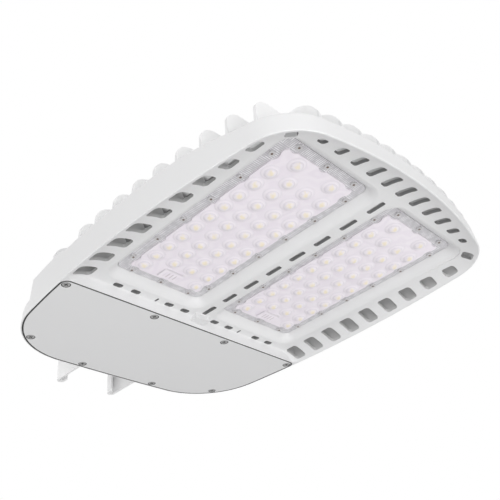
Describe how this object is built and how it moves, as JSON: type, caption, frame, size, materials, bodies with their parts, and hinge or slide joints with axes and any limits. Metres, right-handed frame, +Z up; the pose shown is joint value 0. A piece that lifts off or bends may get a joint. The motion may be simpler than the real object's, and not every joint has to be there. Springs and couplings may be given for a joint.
{
  "type": "LED area light",
  "caption": "White LED area light with two lens modules in a vented, finned die-cast housing, a driver box with a screwed cover and a folded arm bracket.",
  "frame": {"origin": "middle of the overall length and width, on the plane of the lower rim that the lamp rests on", "axes": "+X towards the free front end, away from the arm; +Z up, against the light; +Y to the left seen from behind"},
  "size_m": [0.5385, 0.3568, 0.064],
  "materials": {
    "white_paint": "satin powder coat on die-cast aluminium and sheet",
    "cover_paint": "white, matt",
    "black_rubber": "matt",
    "grey_silicone": "matt",
    "dark_steel": "dark zinc",
    "steel": "zinc plated",
    "clear_lens": "clear, moulded",
    "white_board": "white solder mask",
    "led_phosphor": "cream",
    "black_plastic": "matt",
    "pale_plastic": "matt",
    "driver_case": "plain",
    "surge_case": "matt"
  },
  "bodies": {
    "root": {"housing": "white_paint", "mount_bracket": "white_paint", "driver_cover": "cover_paint", "cover_gasket": "black_rubber", "cover_screws": "dark_steel", "led_driver": "driver_case", "surge_protector": "surge_case", "terminal_block": "pale_plastic", "driver_screws": "steel", "surge_screws": "steel", "terminal_screws": "steel", "cable_gland": "black_plastic", "gland_locknut": "black_plastic", "bracket_bolts": "steel", "bracket_washers": "steel", "lens_plate_left": "clear_lens", "lens_gasket_left": "grey_silicone", "lens_screws_left": "dark_steel", "led_board_left": "white_board", "led_chips_left": "led_phosphor", "board_connector_left": "pale_plastic", "lead_grommet_left": "black_rubber", "lens_plate_right": "clear_lens", "lens_gasket_right": "grey_silicone", "lens_screws_right": "dark_steel", "led_board_right": "white_board", "led_chips_right": "led_phosphor", "board_connector_right": "pale_plastic", "lead_grommet_right": "black_rubber"}
  },
  "joints": []
}
